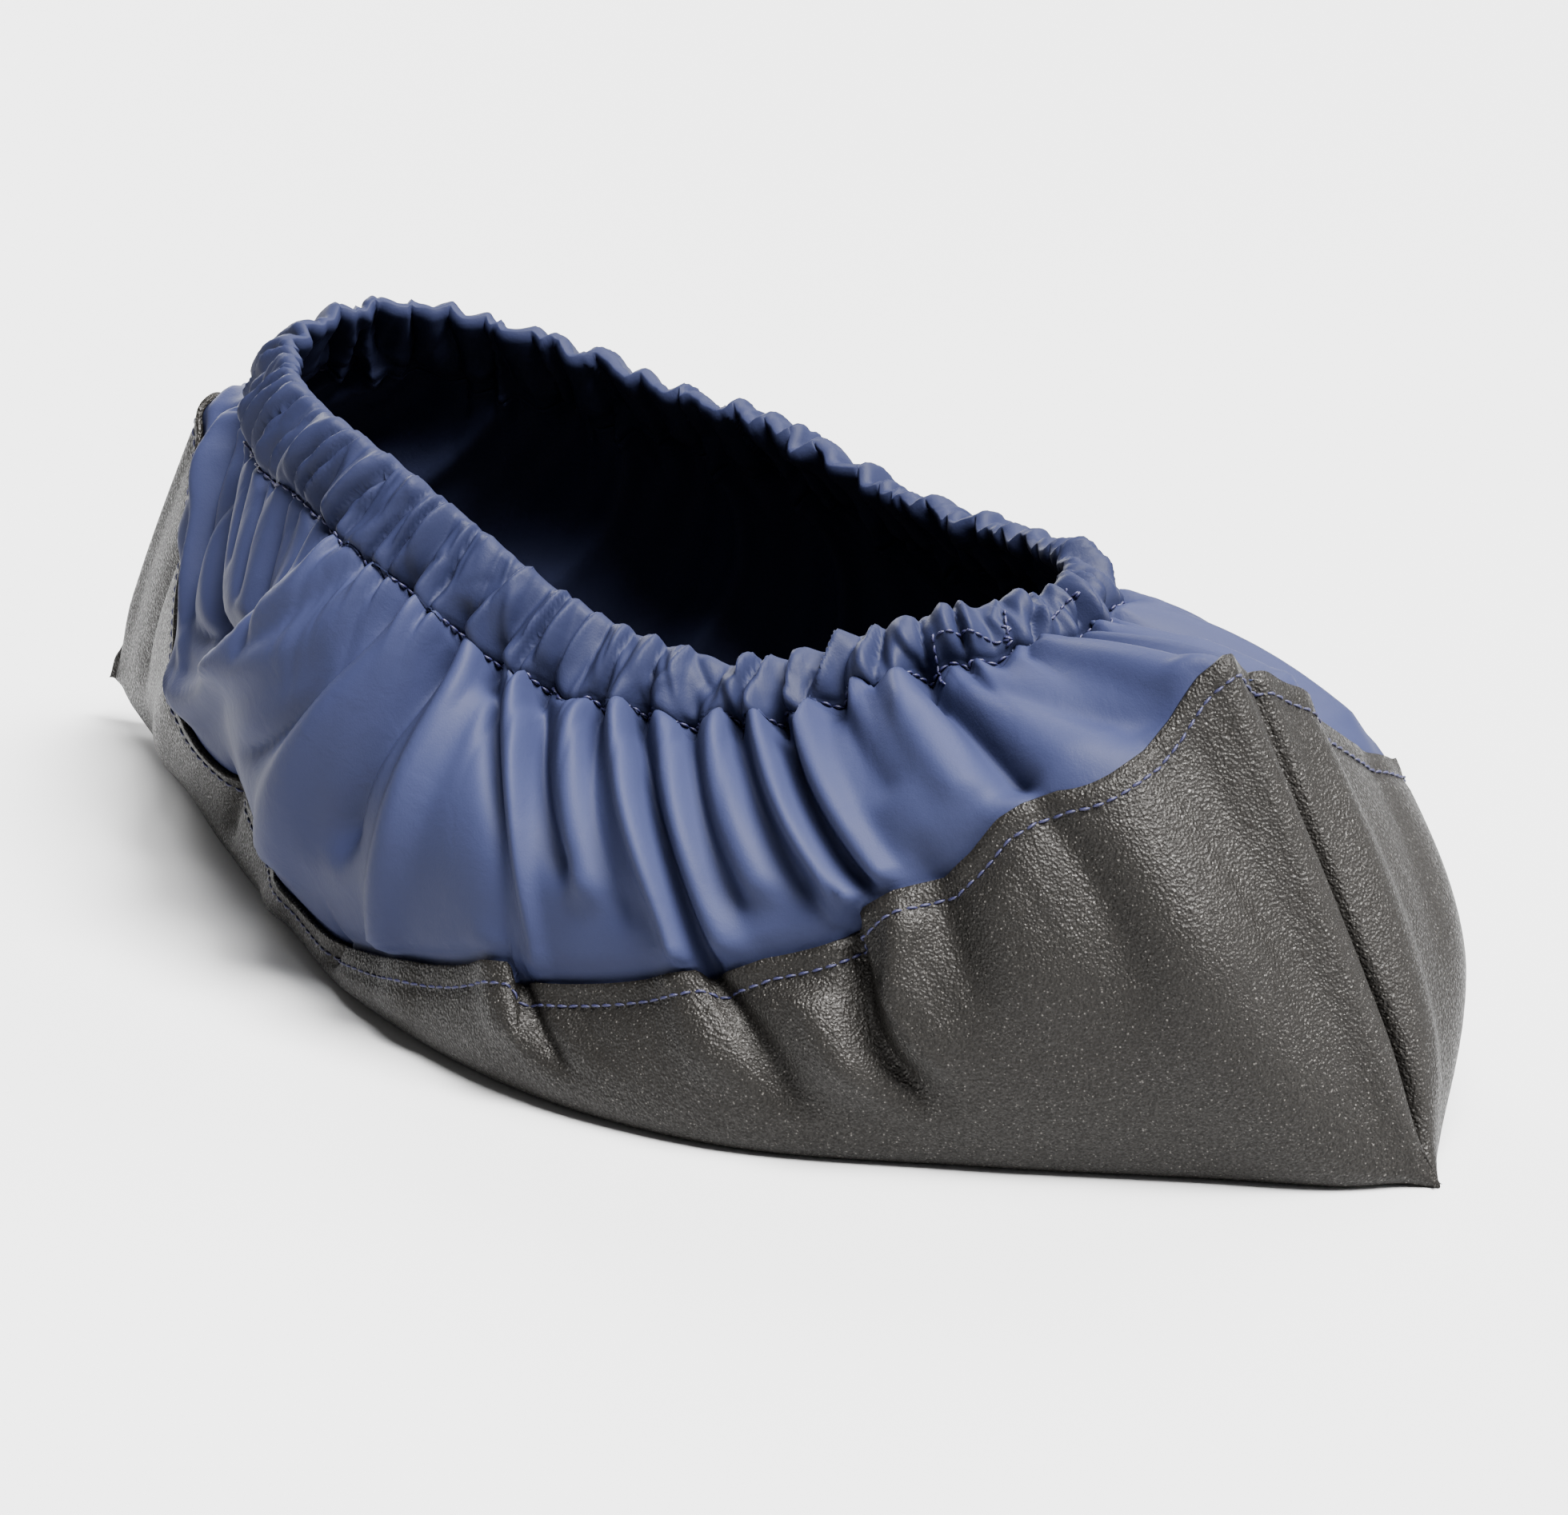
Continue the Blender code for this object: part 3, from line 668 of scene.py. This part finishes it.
def gathers(stitch, distance):
    """Height of the gathers: full on the casing, pinched at the stitch line, dying away
    down the cloth. The second result is their crests along the stitch line."""
    picks = np.random.default_rng(GATHER_SEED)
    places, whole = gather_valleys(stitch, picks)
    along = ring_length(stitch)[:-1]
    count = len(places)
    leans = picks.uniform(*GATHER_LEANS, count)
    heights = picks.uniform(*GATHER_HEIGHTS, count)
    main = domes(places, whole, leans, heights, along, distance, GATHER_POWER) - GATHER_SINK
    count = int(whole / FINE_GATHER_SPACING)
    uneven = picks.uniform(-FINE_GATHER_UNEVEN, FINE_GATHER_UNEVEN, count)
    places = (np.arange(count) + uneven) * whole / count
    leans = picks.uniform(*FINE_GATHER_LEANS, count)
    heights = picks.uniform(*FINE_GATHER_HEIGHTS, count)
    fine = domes(places, whole, leans, heights, along, distance, FINE_GATHER_POWER) - FINE_GATHER_SINK
    reach = np.where(distance > 0, 1.0, np.exp(distance / GATHER_REACH))
    fine_reach = np.where(distance > 0, 1.0, np.exp(distance / FINE_GATHER_REACH))
    height = GATHER_HEIGHT * main * reach + FINE_GATHER_HEIGHT * fine * fine_reach
    pinch = 1 - GATHER_PINCH * bell(distance, GATHER_PINCH_REACH)
    beside_heel = np.exp(-(turn_gap(CALM_CENTRE) / CALM_HALF_ANGLE) ** 4)
    calm = 1 - CALM_SHARE * beside_heel * smooth_step(-distance, 0.0, CALM_DROP)
    return pinch * calm * height, main[CLOTH_ROWS - 1]


def below_top(grid, distance):
    """The ring of points this far below the grid's last row, measured along the sheet."""
    steps = np.linalg.norm(grid[1:] - grid[:-1], axis=-1)
    depth = np.concatenate((np.cumsum(steps[::-1], axis=0)[::-1], np.zeros((1, SEGMENTS))))
    points = np.empty((SEGMENTS, 3))
    for i in range(SEGMENTS):
        for axis in range(3):
            points[i, axis] = np.interp(distance, depth[::-1, i], grid[::-1, i, axis])
    return points


def line_below_top(grid, distance):
    """The ring this far below the grid's top edge, and the way that it faces."""
    line = below_top(grid, distance)
    return line, unit(below_top(grid + facing(grid) * MM, distance) - line)


def mesh_object(name, points, faces, material):
    data = bpy.data.meshes.new(name)
    data.from_pydata(points.reshape(-1, 3).tolist(), [], faces)
    data.update()
    data.shade_smooth()
    data.materials.append(material)
    made = bpy.data.objects.new(name, data)
    bpy.context.scene.collection.objects.link(made)
    return made


def band(low, high):
    """Faces between two rings of vertex numbers, facing out."""
    low_next, high_next = np.roll(low, -1), np.roll(high, -1)
    return np.stack((low, high, high_next, low_next), axis=-1).tolist()


def sole_faces(first, ring_points, start, downward):
    """Points and faces that close the bottom from side to side. first holds the vertex
    numbers of the ring, start the number of the first new point."""
    half = SEGMENTS // 2
    points, numbers = [], {}
    for i in range(half + 1):
        far = -i % SEGMENTS
        for k in range(SOLE_STRIPS + 1):
            if k == 0 or i in (0, half):
                numbers[i, k] = int(first[i])
            elif k == SOLE_STRIPS:
                numbers[i, k] = int(first[far])
            else:
                numbers[i, k] = start + len(points)
                s = k / SOLE_STRIPS
                points.append(ring_points[i] * (1 - s) + ring_points[far] * s)
    faces = []
    for i in range(half):
        for k in range(SOLE_STRIPS):
            corners = [numbers[i, k], numbers[i + 1, k], numbers[i + 1, k + 1], numbers[i, k + 1]]
            corners = [c for at, c in enumerate(corners) if c not in corners[:at]]
            if len(corners) > 2:
                faces.append(corners if downward else corners[::-1])
    return np.array(points), faces


def walled(name, outer, inner, material, with_sole=False):
    """A closed sheet between an outer and an inner grid of points."""
    numbers = np.arange(outer.shape[0] * SEGMENTS).reshape(-1, SEGMENTS)
    inside = np.arange(inner.shape[0] * SEGMENTS).reshape(-1, SEGMENTS) + numbers.size
    faces = []
    for low, high in zip(numbers, numbers[1:]):
        faces += band(low, high)
    for low, high in zip(inside, inside[1:]):
        faces += band(high, low)
    faces += band(numbers[-1], inside[-1])
    points = [outer.reshape(-1, 3), inner.reshape(-1, 3)]
    count = numbers.size + inside.size
    if with_sole:
        new, bottom = sole_faces(numbers[0], outer[0], count, True)
        faces += bottom
        new_inside, bottom = sole_faces(inside[0], inner[0], count + len(new), False)
        faces += bottom
        points += [new, new_inside]
    else:
        faces += band(inside[0], numbers[0])
    return mesh_object(name, np.concatenate(points), faces, material)


def make_tray(grid, material):
    return walled("tray", grid, grid - facing(grid) * TRAY_WALL, material, with_sole=True)


def make_cloth(skin, tray, material):
    """The upper's sheet: it starts inside the tray's edge and ends at the stitch line."""
    tucked = []
    for share in TUCK_ROWS:
        line, outward = line_below_top(tray, share * TUCK)
        tucked.append(line - outward * (TRAY_WALL + TUCK_GAP))
    outer = np.concatenate((np.array(tucked), skin[:CLOTH_ROWS]))
    inner = outer - facing(outer) * CLOTH_WALL
    return walled("upper_cloth", outer, inner, material)


def make_casing(skin, distance, material):
    """The gathered casing: a flat tube of cloth, pinched at its stitch line."""
    outer = skin[CLOTH_ROWS - 1:]
    outward = np.stack([smoothed(row, CASING_SMOOTHING) for row in facing(skin)[CLOTH_ROWS - 1:]])
    outward = unit(outward)
    above = distance[CLOTH_ROWS - 1:]
    to_rim = ((above - above[-1] + RIM_ROUNDING) / RIM_ROUNDING).clip(0, 1)
    round_top = np.sqrt(np.clip(1 - to_rim ** 2, 0, 1))
    thick = CASING_PINCH + (CASING_THICK - CASING_PINCH) * smooth_step(above, 0.0, CASING_FILL)
    middle = outer - outward * thick[..., None] / 2
    half = (thick / 2 * np.maximum(round_top, RIM_THINNEST))[..., None]
    return walled("gathered_casing", middle + outward * half, middle - outward * half, material)


def along_ring(ring_points, values, places):
    """Values given round a ring, read at distances round it."""
    at = ring_length(ring_points)
    closed = np.concatenate((values, values[:1]))
    return np.stack([np.interp(places % at[-1], at, closed[:, k]) for k in range(3)], axis=-1)


def tubes(name, lines, outward, thickness, material, sides=THREAD_SIDES):
    """Many short threads as one mesh. lines holds rows of points, outward their normals,
    and thickness the radius at each point of a row."""
    along = unit(np.gradient(lines, axis=1))
    across = unit(np.cross(along, outward))
    up = np.cross(across, along)
    turn = np.arange(sides) * 2 * pi / sides
    rings = (lines[:, :, None] + thickness[None, :, None, None]
             * (across[:, :, None] * np.cos(turn)[None, None, :, None]
                + up[:, :, None] * np.sin(turn)[None, None, :, None]))
    count, length = lines.shape[:2]
    faces = []
    for thread in range(count):
        first = thread * length * sides
        for k in range(length - 1):
            here = first + k * sides
            for s in range(sides):
                t = (s + 1) % sides
                faces.append((here + s, here + t, here + sides + t, here + sides + s))
        faces.append(tuple(range(first + sides - 1, first - 1, -1)))
        last = first + (length - 1) * sides
        faces.append(tuple(range(last, last + sides)))
    return mesh_object(name, rings, faces, material)


def stitch_line(name, line, outward, pitch, seed, material):
    """A row of sewn threads along a closed line. outward is the way that the line faces."""
    picks = np.random.default_rng(seed)
    whole = ring_length(line)[-1]
    count = round(whole / pitch)
    uneven = picks.uniform(-THREAD_UNEVEN, THREAD_UNEVEN, count)
    starts = (np.arange(count) + uneven) * whole / count
    steps = np.linspace(0, THREAD_SHARE, len(THREAD_SHAPE)) * pitch
    places = starts[:, None] + steps[None]
    threads = along_ring(line, line, places)
    normals = unit(along_ring(line, outward, places))
    side = unit(np.cross(normals, np.gradient(threads, axis=1)))
    slant = picks.uniform(-THREAD_SLANT, THREAD_SLANT, (count, 1))
    slant = slant * np.linspace(-1, 1, len(THREAD_SHAPE))[None]
    lift = (THREAD_LIFT * THREAD_RADIUS)[None, :, None]
    threads = threads + side * slant[..., None] + normals * lift
    return tubes(name, threads, normals, THREAD_RADIUS * THREAD_SHAPE, material)


def on_skin(skin, distance, turn, above):
    """The point of the blue skin at a signed angle and a distance above the stitch line."""
    order = np.argsort(TURN_SIGNED)
    column = np.interp(turn, TURN_SIGNED[order], np.arange(SEGMENTS))
    first, share = int(column), column % 1
    columns = order[first], order[(first + 1) % SEGMENTS]
    ends = [[np.interp(above, distance[:, c], skin[:, c, k]) for k in range(3)] for c in columns]
    return np.array(ends[0]) * (1 - share) + np.array(ends[1]) * share


def short_seams(skin, distance, material):
    """Short rows of stitches, each sewn there and back."""
    lifted = skin + facing(skin) * MM
    made = []
    for seed, (name, marks) in enumerate(SHORT_SEAMS, SHORT_SEAM_SEED):
        turns, aboves = np.array(marks).T
        at = np.linspace(0, len(marks) - 1, SHORT_SEAM_STEPS * len(marks))
        turns = np.interp(at, np.arange(len(marks)), turns)
        aboves = np.interp(at, np.arange(len(marks)), aboves) * MM
        line = np.array([on_skin(skin, distance, *place) for place in zip(turns, aboves)])
        high = np.array([on_skin(lifted, distance, *place) for place in zip(turns, aboves)])
        line = np.concatenate((line, line[-2:0:-1]))
        outward = unit(np.concatenate((high, high[-2:0:-1])) - line)
        made.append(stitch_line(name, line, outward, SHORT_SEAM_PITCH, seed, material))
    return made


# Colours, as linear shares of red, green and blue
GREY_DARK = (0.0021, 0.0018, 0.0015)
GREY_PALE = (0.0076, 0.0069, 0.0061)
GREY_PATCH = (0.0055, 0.0048, 0.0040)
# The pale colour of the painted highlight flecks on the grey grain
GREY_PAINTED_GLINT = (0.090, 0.085, 0.078)
WARM_SHINE = (1.0, 0.965, 0.93)
BLUE_DARK = (0.0156, 0.0188, 0.0470)
BLUE_PALE = (0.0184, 0.0224, 0.0540)
# Painted shade: a darker copy of the blue, given to the casing to stand in for its shade
CASING_SHADED_DARK = (0.0095, 0.0118, 0.0310)
CASING_SHADED_PALE = (0.0122, 0.0150, 0.0380)
THREAD_DARK = (0.0032, 0.0032, 0.0210)
THREAD_PALE = (0.0095, 0.0098, 0.0540)
FLOOR_DARK = (0.50, 0.50, 0.50)
FLOOR_PALE = (0.53, 0.53, 0.53)


class Shader:
    """A material's nodes, with short calls for the few kinds that are used."""

    def __init__(self, name):
        self.material = bpy.data.materials.new(name)
        self.material.use_nodes = True
        self.tree = self.material.node_tree
        self.out = self.tree.nodes["Principled BSDF"]
        self.place = self.tree.nodes.new("ShaderNodeTexCoord").outputs["Object"]

    def link(self, output, target):
        self.tree.links.new(output, target)

    def noise(self, scale, detail=2.0, roughness=0.5, distortion=0.0):
        made = self.tree.nodes.new("ShaderNodeTexNoise")
        made.inputs["Scale"].default_value = scale
        made.inputs["Detail"].default_value = detail
        made.inputs["Roughness"].default_value = roughness
        made.inputs["Distortion"].default_value = distortion
        self.link(self.place, made.inputs["Vector"])
        return made.outputs["Fac"]

    def cells(self, scale, feature="F1"):
        made = self.tree.nodes.new("ShaderNodeTexVoronoi")
        made.feature = feature
        made.inputs["Scale"].default_value = scale
        self.link(self.place, made.inputs["Vector"])
        return made.outputs["Distance"]

    def span(self, value, low, high, to_low, to_high):
        made = self.tree.nodes.new("ShaderNodeMapRange")
        for at, number in enumerate((low, high, to_low, to_high)):
            made.inputs[at + 1].default_value = number
        self.link(value, made.inputs["Value"])
        return made.outputs["Result"]

    def combine(self, first, second, operation="ADD"):
        made = self.tree.nodes.new("ShaderNodeMath")
        made.operation = operation
        for at, value in enumerate((first, second)):
            if isinstance(value, (int, float)):
                made.inputs[at].default_value = value
            else:
                self.link(value, made.inputs[at])
        return made.outputs["Value"]

    def blend(self, share, low, high):
        made = self.tree.nodes.new("ShaderNodeMix")
        made.data_type = "RGBA"
        for socket, colour in ((made.inputs[6], low), (made.inputs[7], high)):
            if isinstance(colour, tuple):
                socket.default_value = (*colour, 1.0)
            else:
                self.link(colour, socket)
        self.link(share, made.inputs["Factor"])
        return made.outputs[2]

    def bump(self, height, distance, strength=1.0, under=None):
        made = self.tree.nodes.new("ShaderNodeBump")
        made.inputs["Strength"].default_value = strength
        made.inputs["Distance"].default_value = distance
        self.link(height, made.inputs["Height"])
        if under is not None:
            self.link(under, made.inputs["Normal"])
        return made.outputs["Normal"]


def rubberised_cloth():
    """Dark grey cloth with a fine pebble grain; small pale flecks painted into its colour stand in for
    glinting highlights.
    """
    s = Shader("rubberised_cloth")
    patches = s.noise(22, detail=3, roughness=0.6)
    crumbs = s.noise(1900, detail=2, roughness=0.6)
    grain = s.combine(s.cells(2000, "SMOOTH_F1"), s.combine(crumbs, 0.5, "MULTIPLY"))
    colour = s.blend(s.span(crumbs, 0.38, 0.66, 0, 1), GREY_DARK, GREY_PALE)
    colour = s.blend(s.span(patches, 0.3, 0.7, 0, 0.35), colour, GREY_PATCH)
    # Painted highlights: small pale flecks blended into the colour stand in for glinting highlights on
    # the grain
    glint_spots = s.span(s.cells(1300), 0.14, 0.28, 1, 0)
    painted_glints = s.combine(glint_spots, s.span(crumbs, 0.48, 0.62, 0, 1), "MULTIPLY")
    s.link(s.blend(painted_glints, colour, GREY_PAINTED_GLINT), s.out.inputs["Base Color"])
    s.link(s.span(crumbs, 0.38, 0.68, 0.68, 0.30), s.out.inputs["Roughness"])
    s.out.inputs["Specular IOR Level"].default_value = 0.22
    s.out.inputs["Specular Tint"].default_value = (*WARM_SHINE, 1.0)
    s.link(s.bump(grain, distance=0.00030), s.out.inputs["Normal"])
    return s.material


def coated_cloth(name, dark, pale):
    """Matt blue coated cloth with faint wrinkles and a very fine grain."""
    s = Shader(name)
    patches = s.noise(16, detail=3, roughness=0.55)
    fine = s.noise(2600, detail=2, roughness=0.6)
    wrinkles = s.noise(140, detail=3, roughness=0.55, distortion=0.6)
    s.link(s.blend(s.span(patches, 0.3, 0.7, 0, 1), dark, pale), s.out.inputs["Base Color"])
    s.link(s.span(patches, 0.3, 0.7, 0.54, 0.66), s.out.inputs["Roughness"])
    s.out.inputs["Specular IOR Level"].default_value = 0.10
    soft = s.bump(wrinkles, distance=0.0006, strength=0.35)
    s.link(s.bump(fine, distance=0.00008, strength=0.5, under=soft), s.out.inputs["Normal"])
    return s.material


def sewing_thread():
    """Dark violet-blue twisted thread."""
    s = Shader("sewing_thread")
    strands = s.noise(4200, detail=2, roughness=0.6)
    s.link(s.blend(strands, THREAD_DARK, THREAD_PALE), s.out.inputs["Base Color"])
    s.out.inputs["Roughness"].default_value = 0.55
    s.link(s.bump(strands, distance=0.0001, strength=0.6), s.out.inputs["Normal"])
    return s.material


def pale_floor():
    s = Shader("pale_floor")
    s.link(s.blend(s.noise(3, detail=2), FLOOR_DARK, FLOOR_PALE), s.out.inputs["Base Color"])
    s.out.inputs["Roughness"].default_value = 0.7
    return s.material


# Studio: half the floor's width, and the even light of the surroundings
FLOOR_REACH = 12.0
WORLD_STRENGTH = 0.19

# Lights: name, azimuth and elevation of the place seen from the shoe, distance, width,
# height and power in watts
LIGHT_TARGET = (0.02, 0.0, 0.04)
LIGHTS = (
    ("overhead", 90.0, 74.0, 1.6, 1.0, 0.8, 90.0),
    ("left", -112.0, 22.0, 1.8, 0.5, 1.0, 34.0),
    ("right", 112.0, 16.0, 1.8, 0.5, 0.8, 9.0),
    ("back", 190.0, 40.0, 1.8, 1.2, 0.7, 34.0),
)
SUN_STRENGTH = 16.0
SUN_ANGLE = 28.0
SUN_AZIMUTH = 98.0
SUN_ELEVATION = 60.0


def make_stage():
    size = FLOOR_REACH
    corners = np.array(((-size, -size, 0), (size, -size, 0), (size, size, 0), (-size, size, 0)))
    floor = mesh_object("floor", corners, [(0, 1, 2, 3)], pale_floor())
    world = bpy.data.worlds.new("studio")
    world.use_nodes = True
    background = world.node_tree.nodes["Background"]
    background.inputs["Color"].default_value = (1.0, 1.0, 1.0, 1.0)
    background.inputs["Strength"].default_value = WORLD_STRENGTH
    bpy.context.scene.world = world


def outward_of(azimuth, elevation):
    """The way from the shoe to a place at this azimuth and elevation, in degrees."""
    a, e = radians(azimuth), radians(elevation)
    return Vector((sin(a) * cos(e), -cos(a) * cos(e), sin(e)))


def place_light(data, away, location):
    """Put a light in the scene, shining against the way that away points."""
    light = bpy.data.objects.new(data.name, data)
    light.location = location
    light.rotation_mode = "QUATERNION"
    light.rotation_quaternion = away.to_track_quat("Z", "Y")
    bpy.context.scene.collection.objects.link(light)


def make_lights():
    target = Vector(LIGHT_TARGET)
    for name, azimuth, elevation, distance, width, height, power in LIGHTS:
        data = bpy.data.lights.new(name, "AREA")
        data.shape = "RECTANGLE"
        data.size, data.size_y = width, height
        data.energy = power
        away = outward_of(azimuth, elevation)
        place_light(data, away, target + away * distance)
    data = bpy.data.lights.new("sky_panel", "SUN")
    data.energy, data.angle = SUN_STRENGTH, radians(SUN_ANGLE)
    place_light(data, outward_of(SUN_AZIMUTH, SUN_ELEVATION), (0.0, 0.0, 0.0))


def make_camera():
    away = outward_of(VIEW_AZIMUTH, VIEW_ELEVATION)
    right = Vector((cos(radians(VIEW_AZIMUTH)), sin(radians(VIEW_AZIMUTH)), 0.0))
    up = away.cross(right)
    roll = radians(VIEW_ROLL)
    rolled = right * cos(roll) + up * sin(roll)
    data = bpy.data.cameras.new("camera")
    data.sensor_width = SENSOR_WIDTH
    data.lens = VIEW_LENS
    data.clip_start, data.clip_end = CLIP_START, CLIP_END
    camera = bpy.data.objects.new("camera", data)
    axes = Matrix((rolled, away.cross(rolled), away)).transposed()
    place = Vector(VIEW_TARGET) + away * VIEW_DISTANCE
    camera.matrix_world = Matrix.Translation(place) @ axes.to_4x4()
    bpy.context.scene.collection.objects.link(camera)
    bpy.context.scene.camera = camera


def dress(piece, slot, *nodes):
    """Give a piece its body and hide the solids that it takes the place of. The slot is not used."""
    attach(piece, "root")
    if nodes:
        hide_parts(*nodes)
    return piece


def make_overshoe():
    """Every visible piece. The result is the three sheets."""
    tray = tray_grid()
    skin, distance = cloth_and_casing(tray)
    blue = coated_cloth("coated_cloth", BLUE_DARK, BLUE_PALE)
    # The casing takes the same blue cloth, made darker as painted shade
    casing_shaded_blue = coated_cloth("casing_cloth_painted_shade", CASING_SHADED_DARK, CASING_SHADED_PALE)
    thread = sewing_thread()

    tray_piece = dress(make_tray(tray, rubberised_cloth()), "tray_cloth", "sole")
    cloth_piece = dress(make_cloth(skin, tray, blue), "upper_cloth", "upper")
    casing_piece = dress(make_casing(skin, distance, casing_shaded_blue), "casing_cloth", "collar_casing")

    line, outward = line_below_top(tray, TRAY_STITCH_DROP)
    row = stitch_line("tray_stitches", line, outward, TRAY_STITCH_PITCH, TRAY_STITCH_SEED, thread)
    dress(row, "thread")
    outward = facing(skin)[CLOTH_ROWS - 1]
    line = skin[CLOTH_ROWS - 1] + outward * THREAD_RADIUS
    row = stitch_line("casing_stitches", line, outward, CASING_STITCH_PITCH, CASING_STITCH_SEED, thread)
    dress(row, "thread")
    for row in short_seams(skin, distance, thread):
        dress(row, "thread")
    return tray_piece, cloth_piece, casing_piece


make_camera()
make_lights()
make_stage()
tray_piece, cloth_piece, casing_piece = make_overshoe()
